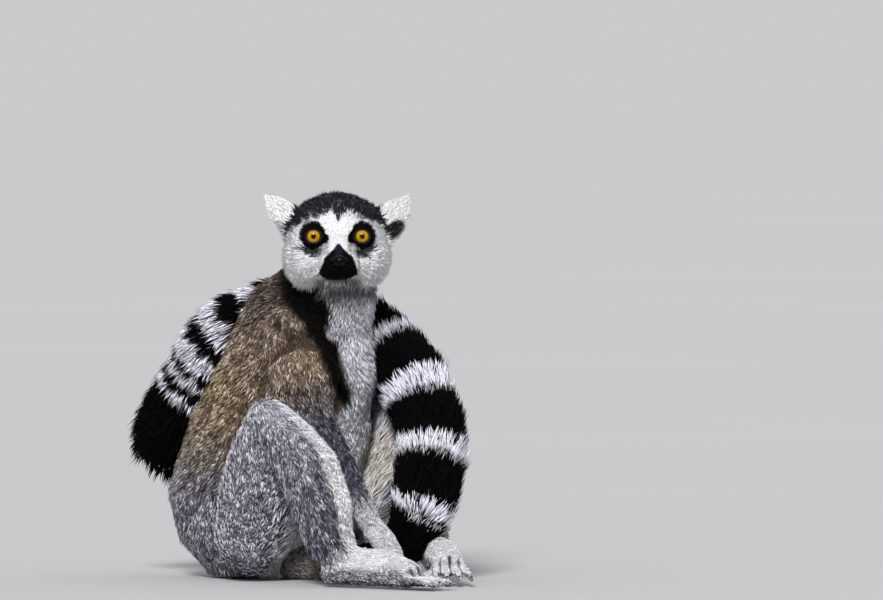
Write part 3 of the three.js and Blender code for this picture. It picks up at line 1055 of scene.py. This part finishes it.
def spindles(name, roots, levels, halves, side, up, tints, patch):
    """Closed tufts: a root, one or more rings of three, and a tip.

    `levels` are the rings' centres and the tip (tuft, level, 3), `halves` the rings' half widths (tuft, ring),
    `tints` the colours from root to tip (tuft, level + 1, 3) and `patch` each tuft's corner on the map.
    """
    n, rings = len(roots), levels.shape[1] - 1
    size = 2 + 3 * rings
    points = np.empty((n, size, 3))
    tint = np.empty((n, size, 3))
    points[:, 0], tint[:, 0] = roots, tints[:, 0]
    points[:, -1], tint[:, -1] = levels[:, -1], tints[:, -1]
    for r in range(rings):
        half = halves[:, r, None]
        at = 1 + 3 * r
        points[:, at] = levels[:, r] - side * half - up * half * 0.25
        points[:, at + 1] = levels[:, r] + side * half - up * half * 0.25
        points[:, at + 2] = levels[:, r] + up * half * 0.55
        tint[:, at:at + 3] = tints[:, r + 1, None]
    points[..., 2] = np.maximum(points[..., 2], 0.3)
    faces, places = [], []
    rise = PATCH / (rings + 1)
    for i in range(3):
        j = (i + 1) % 3
        left, mid, right = (step * PATCH / 3 for step in (i, i + 0.5, i + 1))
        faces.append([0, 1 + j, 1 + i])
        places.append([(mid, 0), (right, rise), (left, rise)])
        for r in range(rings - 1):
            a, b = 1 + 3 * r, 4 + 3 * r
            low, high = rise * (r + 1), rise * (r + 2)
            faces += [[a + i, a + j, b + j], [a + i, b + j, b + i]]
            places += [[(left, low), (right, low), (right, high)], [(left, low), (right, high), (left, high)]]
        top = size - 4
        faces.append([top + i, top + j, size - 1])
        places.append([(left, rise * rings), (right, rise * rings), (mid, PATCH)])
    faces = (np.array(faces)[None] + (np.arange(n) * size)[:, None, None]).reshape(-1, 3)
    uv = (patch[:, None, None] + np.array(places)[None]).reshape(-1, 2)
    return make_mesh(name, points.reshape(-1, 3), faces, tint.reshape(-1, 3), uv)


def to_clumps(roots, tips, group, every, pull, reach):
    """Draws each tuft's tip towards the tip of the nearest lock's middle."""
    chosen = rng.permutation(len(roots))[:max(len(roots) // every, 1)]
    tree = KDTree(len(chosen))
    for i, c in enumerate(chosen):
        tree.insert(roots[c], i)
    tree.balance()
    near = np.array([tree.find(p)[1] for p in roots])
    lead = chosen[near]
    gap = tips[lead] - tips
    far = np.linalg.norm(gap, axis=1)
    draw = pull * (group == group[lead]) * (1 - ramp(far, reach, reach * 2))
    return tips + gap * draw[:, None], lead


FUR = tinted("lemur_fur", 0.12, 1.0, 0, Roughness=0.8, Specular_IOR_Level=0.06)


def sampled(weights, count):
    """Face numbers, in proportion to their weights, with even spacing."""
    total = np.cumsum(weights)
    return np.searchsorted(total, (np.arange(count) + rng.random(count)) / count * total[-1]).clip(
        0, len(weights) - 1)


def spread_over(values, face, u, v):
    """Values of the skin's points taken to places on its faces."""
    corner = values[skin.quads[face]]
    a, b, c, d = (corner[:, k] for k in range(4))
    if values.ndim == 1:
        u, v = u[:, 0], v[:, 0]
    return a * (1 - u) * (1 - v) + b * u * (1 - v) + c * u * v + d * (1 - u) * v


def tuft_levels(root, flow, normal, length, lifts, shares):
    """Places along a tuft that leaves the skin at the first lift and leans over to the next ones."""
    levels, at = [], root
    for lift, share in zip(lifts, shares):
        at = at + swung(np.radians(lift), flow, normal) * (length * share)[:, None]
        levels.append(at)
    return np.stack(levels, 1)


def unwrapped(q, region_id):
    """Where each root lies on the map: round and along its part, as if the skin were peeled off it."""
    uv = np.zeros((len(q), 2))
    for i, name in enumerate(NAMES):
        mine = region_id == i
        if not mine.any():
            continue
        if len(REGIONS[name]["path"]):
            along_it, centre, tangent = closest_on(REGIONS[name]["path"], q[mine])
            d = q[mine] - centre
            ref = np.array([0.31, 0.95, 0.05]) if abs(tangent[0][2]) > 0.5 else np.array([0.1, 0.2, 0.97])
            side = unit(np.cross(tangent, ref))
            turn = np.arctan2((d * side).sum(-1), (d * np.cross(tangent, side)).sum(-1))
            uv[mine] = np.stack([turn / (2 * math.pi) + 0.5, along_it], -1)
        else:
            p = to_head(q[mine])
            if name.startswith("ear"):
                s = -1 if name.endswith("right") else 1
                p = (p - np.array([s * 40, 27, 12])) * np.array([1, 2.0, 1])
            else:
                p = p - np.array([0, 12, -4])
            turn = np.arctan2(p[:, 0], -p[:, 1])
            rise = np.arcsin(np.clip(p[:, 2] / np.linalg.norm(p, axis=1), -1, 1))
            uv[mine] = np.stack([turn / (2 * math.pi) + 0.5, rise / math.pi + 0.5], -1)
        low, high = uv[mine].min(0), uv[mine].max(0)
        uv[mine] = (uv[mine] - low) / (high - low + 1e-9)
    return uv * (1 - PATCH)


def coat_over(faces, count, weights, length_of, colours_of, pull):
    """Tufts over some of the skin's faces, one piece for each node."""
    face = faces[sampled(weights, count)]
    u, v = rng.random((count, 1)), rng.random((count, 1))
    root = spread_over(skin.points, face, u, v)
    n = unit(spread_over(normal, face, u, v))
    f = flattened(spread_over(flow, face, u, v), n)
    kind = region[skin.quads[face][:, 0]]
    keep = (root[:, 2] > 0.9) | (n[:, 2] > -0.3)
    root, n, f, kind, face, u, v = (values[keep] for values in (root, n, f, kind, face, u, v))
    side = np.cross(f, n)
    turn = np.radians(16) * rng.normal(size=len(root)) * 0.6 + 0.22 * noise(root, 11, 31)
    f = unit(swung(turn, f, side))
    side = np.cross(f, n)
    length = length_of(root, kind) * rng.uniform(0.7, 1.25, len(root))
    lift = region_values("lift")[kind] * rng.uniform(0.7, 1.35, len(root)) + 4 * noise(root, 6, 33)
    root = root - n * ROOT_DEPTH
    levels = tuft_levels(root, f, n, length, [lift + 11, lift - 9], TUFT_SHARES)
    levels[:, 1], lead = to_clumps(root, levels[:, 1], kind, LOCK, pull, 5.0)
    half = region_values("width")[kind] * rng.uniform(0.75, 1.25, len(root)) / 2
    shown = root + f * (length * 0.45)[:, None]
    tints = colours_of(shown, n, kind, face, u, v, lead)
    patch = unwrapped(root, kind)
    for i in np.unique(kind):
        mine = kind == i
        spindles_of("coat_" + NAMES[i], mine, root, levels, half, side, n, tints, patch)


def spindles_of(name, mine, root, levels, half, side, up, tints, patch):
    chosen = np.flatnonzero(mine)
    pieces = -(-len(chosen) // MOST)
    for k in range(pieces):
        at = chosen[k * len(chosen) // pieces:(k + 1) * len(chosen) // pieces]
        ob = spindles(name if pieces == 1 else f"{name}_{k + 1}", root[at], levels[at], half[at, None],
                      side[at], up[at], tints[at], patch[at])
        piece(ob, FUR, "fur_grey")


def shaded(base, light, root_share, tip_share):
    """Colours from root to tip: darker at the root, partly the dark undercoat and partly painted shade deep in
    the coat, and lighter at the tip.
    """
    base = base * light[:, None]
    return np.stack([base * root_share[:, None], base * (0.5 + 0.5 * root_share)[:, None],
                     base * tip_share[:, None]], 1)


def body_length(root, kind):
    """Length of the body's tufts: longer on the chest, the belly's left side and inside the right thigh."""
    z = root[:, 2]
    across = root @ HEAD_AXES[0]
    fringe = 1.1 * ramp(root[:, 0], 12, 24) * ramp(across, 22, 34) * ramp(z, 24, 40) * ramp(132 - z, 0, 16)
    fringe = fringe * np.isin(kind, [INDEX["trunk"], INDEX["thigh_left"]])
    chest = (kind == INDEX["trunk"]) * ramp(across, 22, 30) * ramp(z, 110, 130)
    hollow = (kind == INDEX["thigh_right"]) * ramp(across, -28, -14) * ramp(62 - z, 0, 15)
    fringe = fringe + 0.5 * chest + 1.3 * hollow
    even = region_values("length")[kind] * (1 + 0.10 * noise(root, 14, 41)) * (0.72 + 0.28 * ramp(z, 0, 26))
    return even * (1 + fringe)


# How light single hairs and whole locks are, and the share of them that is so light
HAIR_LIGHT = ([0.25, 0.7, 1.4, 2.7], [0.27, 0.28, 0.25, 0.20])
LOCK_LIGHT = ([0.45, 0.8, 1.15, 1.75], [0.25, 0.3, 0.27, 0.18])


def body_tints(root, n, kind, face, u, v, lead):
    """Colours of the body's tufts from root to tip: grizzled by hair and by lock, except the white."""
    w, b, s, k = (spread_over(values, face, u, v) for values in (white, brown, slate, black))
    w = np.clip(w + (rng.random(len(w)) - 0.5) * 0.7 * (w > 0.03) * (w < 0.97), 0, 1)
    # painted shade in the folds of the flank, on the hair too
    k = np.maximum(k, CREASE_SHADE * crease_share(root))
    base = body_colour(root, w, b, s, k)
    warm = (b * ramp(noise(root, 34, 45), -0.3, 0.6))[:, None]
    base = base * (1 + warm * np.array([0.06, 0.0, -0.16]))
    grizzle = rng.choice(HAIR_LIGHT[0], len(w), p=HAIR_LIGHT[1])
    lock_light = rng.choice(LOCK_LIGHT[0], len(w), p=LOCK_LIGHT[1])[lead]
    lock = 1 + 0.36 * noise(root, 2.6, 43) + 0.12 * noise(root, 16, 44)
    dark = (1 - k) + 0.3 * k
    light = lock * np.where(w > 0.5, rng.uniform(0.8, 1.08, len(w)) * (0.9 + 0.1 * lock_light.clip(0, 1)),
                            1 + (grizzle * lock_light - 1) * dark)
    tints = shaded(base, light, 0.12 + 0.66 * w, 1.65 - 0.55 * w)
    ear = np.isin(kind, EARS)
    ear_light = rng.uniform(0.96, 1.08, len(w))
    # the ear's hair darkens in the hollow: painted shade
    ear_tint = mix(WHITE, UMBER * 0.5, ear_hollow_skin_and_shade(root, n) * 0.9)
    ear_tints = shaded(ear_tint, ear_light, np.full(len(w), 0.92), np.full(len(w), 1.08))
    tints = np.where(ear[:, None, None], ear_tints, tints)
    # painted shade in the gaps between fingers and toes
    gap = shade_between_digits(root, kind)[:, None, None]
    return np.clip(tints * (1 - gap) + SLATE * 0.6 * gap, 0, BRIGHTEST)


def head_length(root, kind):
    """Length of the head's tufts: short on the muzzle, long on the cheeks and nape."""
    q = to_head(root)
    x, y, z = q.T
    cheek = ramp(np.abs(x), 16, 28) * ramp(-z, -2, 12)
    length = 2.0 + 2.6 * ramp(y, -16, 4) + 2.8 * ramp(y, 10, 30) + 3.2 * cheek * np.where(x > 0, 0.7, 1.1)
    return length * (1 - 0.3 * ramp(z, -8, 4) * ramp(-y, -8, 4))


def head_tints(root, *_):
    q = to_head(root)
    base = head_colour(q, rng.normal(size=len(q)))
    dark = base.mean(1) < 0.25
    speck = rng.random(len(q))
    patch, _, cap, _, _ = face_markings(q)
    base = np.where(((cap > 0.3) & (patch < 0.3) & (speck < 0.06))[:, None], GREY * 0.6, base)
    light = np.where(dark, rng.uniform(0.6, 1.4, len(q)), rng.uniform(0.86, 1.1, len(q)))
    light = light * (1 + 0.12 * noise(root, 3, 51))
    return np.clip(shaded(base, light, np.where(dark, 0.7, 0.78), np.where(dark, 1.1, 1.08)), 0, BRIGHTEST)


face_areas = np.linalg.norm(skin.crosses(), axis=1) / 2
face_region = region[skin.quads[:, 0]]
on_head = is_head[skin.quads[:, 0]]
face_middle = skin.points[skin.quads].mean(1)
off_floor = face_middle[:, 2] > 0.7
weights = face_areas * region_values("density")[face_region] * off_floor
bare = ear_hollow_skin_and_shade(face_middle, normal[skin.quads].mean(1))
weights = weights * np.where(np.isin(face_region, EARS), 1 - 0.8 * bare, 1)
body_faces = np.flatnonzero(~on_head)
coat_over(body_faces, BODY_TUFTS, weights[body_faces], body_length, body_tints, 0.5)
head_faces = np.flatnonzero(on_head)
head_weight = weights[head_faces] * (1 + 0.9 * ramp(-to_head(face_middle[head_faces])[:, 1], -22, 4))
coat_over(head_faces, HEAD_TUFTS, head_weight, head_length, head_tints, 0.35)
print("body and head coat done")


def lid_coat():
    """Very short hair round the eyes, out over the lids to the face."""
    side = np.repeat([-1, 1], LID_TUFTS)
    turn = rng.uniform(0, 2 * math.pi, len(side))
    outside = rng.uniform(5, 40, len(side))
    offsets, radii = np.array(LID_ROWS[:7]).T
    roots, ahead, out = (np.empty((len(side), 3)) for _ in range(3))
    for s in (-1, 1):
        m = side == s
        angle = lid_opening(turn[m]) + outside[m]
        radius = np.interp(outside[m], offsets, radii) - 0.15
        roots[m] = on_eye(s, angle, turn[m], radius)
        ahead[m] = unit(on_eye(s, angle + 2, turn[m], radius + 0.1) - roots[m])
        out[m] = unit(roots[m] - eye_centre(s))
    across = np.cross(ahead, out)
    ahead = unit(swung(np.radians(12) * rng.normal(size=len(side)), ahead, across))
    length = rng.uniform(1.5, 2.4, len(side)) * (1 + 0.4 * ramp(outside, 15, 35))
    lift = rng.uniform(10, 26, len(side))
    levels = tuft_levels(roots, ahead, out, length, [lift + 6, lift - 4], TUFT_SHARES)
    tint = head_colour(to_head(roots), rng.normal(size=len(side))) * rng.uniform(0.7, 1.1, len(side))[:, None]
    # roots darker: painted shade deep in the hair
    tints = np.stack([tint * 0.7, tint, tint], 1)
    uv = np.stack([turn / (4 * math.pi) + 0.25 + 0.25 * side, outside / 40], -1) * (1 - PATCH)
    ob = spindles("coat_lids", roots, levels, np.full((len(side), 1), 0.26), across, out, tints, uv)
    piece(ob, FUR, "fur_white")


lid_coat()

# ---------- the tail's coat ----------


def tail_coat():
    """The ringed tail's tufts, longer than the body's and with one more ring each."""
    s = (np.arange(TAIL_TUFTS) + rng.random(TAIL_TUFTS)) / TAIL_TUFTS
    table = np.linspace(0, TAIL_END, 800)
    spread = np.cumsum(np.interp(np.clip(table, 0, TAIL_LENGTH), tail_at, TAIL_LINE[:, 3]) + 6)
    s = np.interp(s * spread[-1], spread, table)
    turn = rng.uniform(0, 2 * math.pi, len(s))
    centre, coat, tangent, side, up = tail_frame(s)
    out = swung(turn, side, up)
    radius = tail_skin_radius(s, coat)
    root = centre + out * (radius - 0.6)[:, None]
    rise = np.maximum(coat - radius, 2.5)
    lift = 36 + 7 * noise(root, 13, 61) + rng.normal(0, 5, len(s))
    length = rise / math.sin(math.radians(34)) * rng.uniform(0.62, 1.12, len(s))
    across = np.cross(tangent, out)
    swing = np.radians(9) * rng.normal(size=len(s)) + 0.22 * noise(root, 12, 62)
    ahead = unit(swung(swing, tangent, across))
    levels = tuft_levels(root, ahead, out, length, [lift + 14, lift + 2, lift - 12], [0.3, 0.35, 0.35])
    levels[:, 2], _ = to_clumps(root, levels[:, 2], np.zeros(len(s)), 2 * LOCK, 0.42, 9.0)
    width = 1.0 * rng.uniform(0.7, 1.3, len(s))
    halves = np.stack([width * 0.42, width * 0.5], 1)
    reach = ((levels[:, 2] - root) * tangent).sum(-1)
    tint = ring_colour(s + reach + rng.normal(0, 0.5, len(s)) + noise(root, 7, 63))
    light = rng.uniform(0.72, 1.15, len(s)) * (1 + 0.12 * noise(root, 7, 64))
    tint = tint * light[:, None]
    stray = (rng.random(len(s)) < STRAY_SHARE) & (tint.mean(1) > 0.2)
    tint = np.where(stray[:, None], SLATE, tint)
    plain_hair = ramp(s, *TIP_RINGS)
    low = mix(np.minimum(tint, ring_colour(s + 0.25 * reach)), tint, plain_hair)
    middle = mix(np.minimum(tint, ring_colour(s + 0.6 * reach)), tint, plain_hair)
    # darker towards the roots: painted shade deep in the coat
    tints = np.clip(np.stack([low * 0.4, low * 0.75, middle, tint * 1.1], 1), 0, BRIGHTEST)
    uv = np.stack([turn / (2 * math.pi), s / TAIL_END], -1)
    hidden = buried(root)
    edges = np.linspace(0, len(s), TAIL_PIECES + 1).astype(int)
    for k in range(TAIL_PIECES):
        at = np.arange(edges[k], edges[k + 1])
        at = at[~hidden[at]]
        place = uv[at].copy()
        low, high = place[:, 1].min(), place[:, 1].max()
        place[:, 1] = (place[:, 1] - low) / (high - low)
        ob = spindles(f"coat_tail_{k + 1}", root[at], levels[at], halves[at], across[at], out[at], tints[at],
                      place * (1 - PATCH))
        piece(ob, FUR, "fur_ringed")


def buried(points):
    """Which places lie well inside the body's flesh."""
    deep = np.zeros(len(points), bool)
    for i, p in enumerate(points.tolist()):
        near, n, _, gap = cad_tree.find_nearest(p, 30)
        deep[i] = near is not None and gap > 3 and (Vector(p) - near).dot(n) < 0
    return deep


tail_coat()
print("tail coat done")

# ---------- whiskers ----------


def whiskers():
    """Thin tapering hairs from the whisker pads and over the eyes, in the head frame."""
    lines = []
    for s in (-1, 1):
        for k in range(11):
            row, col = divmod(k, 4)
            base = np.array([s * (9.5 + 1.0 * col), -24 + 4.2 * col, -19.5 - 2.6 * row])
            lean = np.array([s * 1.0, 0.15 + 0.16 * col, -0.28 - 0.1 * row + 0.05 * rng.normal()])
            lines.append((base, unit(lean), 22 + 3.0 * col + 4 * rng.random()))
        for k in range(4):
            base = np.array([s * (11 + 2.2 * k), -3.5, 12.5])
            lines.append((base, unit(np.array([s * (0.15 + 0.2 * k), -0.7, 1.0])), 13 + 3 * rng.random()))
    root = np.array([b for b, _, _ in lines])
    lean = np.array([d for _, d, _ in lines])
    length = np.array([k for _, _, k in lines])[:, None]
    droop = np.array([0, 0, -1.0])
    levels = np.stack([root + lean * length * t + droop * length * 0.16 * t * t for t in (0.3, 0.65, 1.0)], 1)
    halves = np.tile([[0.1, 0.07]], (len(root), 1))
    side = unit(np.cross(lean, np.array([0, 0, 1.0])))
    tint = np.broadcast_to(WHISKER, (len(root), 4, 3))
    turned = from_head(levels.reshape(-1, 3)).reshape(levels.shape)
    return spindles("whiskers", from_head(root), turned, halves, side @ HEAD_AXES,
                    np.cross(side, lean) @ HEAD_AXES, tint, np.zeros((len(root), 2)))


piece(whiskers(), tinted("whisker", 0.1, 0.5, 0, Roughness=0.4), "fur_white")

# ---------- floor, lights and camera ----------

CAMERA_RISE = math.radians(1.2)
CAMERA_DISTANCE = 8000.0
PIXELS_PER_MM = 1.37
PHOTO = (883, 600)
ORIGIN_PIXEL = (300, 580)  # the photograph's column and row where the animal's own origin falls
SENSOR = 36

right = np.array([math.cos(CAMERA_AZIMUTH), math.sin(CAMERA_AZIMUTH), 0])
back = np.array([math.sin(CAMERA_AZIMUTH) * math.cos(CAMERA_RISE),
                 -math.cos(CAMERA_AZIMUTH) * math.cos(CAMERA_RISE), math.sin(CAMERA_RISE)])
above = np.cross(back, right)
aim = (right * ((PHOTO[0] / 2 - ORIGIN_PIXEL[0]) / PIXELS_PER_MM)
       + above * ((ORIGIN_PIXEL[1] - PHOTO[1] / 2) / PIXELS_PER_MM))


def pointed(name, data, direction):
    """A camera or lamp that looks along a direction."""
    ob = bpy.data.objects.new(name, data)
    ob.rotation_mode = "QUATERNION"
    ob.rotation_quaternion = Vector(direction).to_track_quat("-Z", "Y")
    bpy.context.scene.collection.objects.link(ob)
    return ob


camera = pointed("camera", bpy.data.cameras.new("camera"), -back)
camera.location = to_frame(aim + back * CAMERA_DISTANCE)
camera.data.lens = SENSOR * PIXELS_PER_MM * CAMERA_DISTANCE / PHOTO[0]
camera.data.clip_end = 300
bpy.context.scene.camera = camera

FLOOR_HALF = 60000  # mm
corners = FLOOR_HALF * np.array([(-1, -1, 0), (1, -1, 0), (1, 1, 0), (-1, 1, 0)])
floor = make_mesh("floor", corners - OFFSET, [(0, 1, 2, 3)])
ground = Nodes("floor")
where = ground.add("ShaderNodeTexCoord", "Object")
haze = ground.add("ShaderNodeTexNoise", "Fac", where, Scale=0.8, Detail=2.0)
tone = ground.stops(haze, (0.0, (185, 185, 186)), (1.0, (190, 190, 191)))
ground.set(Base_Color=tone, Roughness=0.9, Specular_IOR_Level=0.1)
floor.data.materials.append(ground.material)

KEY_STRENGTH = 3.7
KEY_ANGLE = math.radians(12)
WORLD_STRENGTH = 0.6
WORLD_COLOUR = (0.98, 0.99, 1.0, 1)
toward_key = back * 1.0 - right * 0.12 + np.array([0, 0, 0.55])
key = pointed("key", bpy.data.lights.new("key", "SUN"), -toward_key)
key.data.energy = KEY_STRENGTH
key.data.angle = KEY_ANGLE

world = bpy.data.worlds.new("world")
bpy.context.scene.world = world
world.use_nodes = True
sky = world.node_tree.nodes["Background"].inputs
sky["Color"].default_value = WORLD_COLOUR
sky["Strength"].default_value = WORLD_STRENGTH
bpy.context.scene.view_settings.view_transform = "Standard"
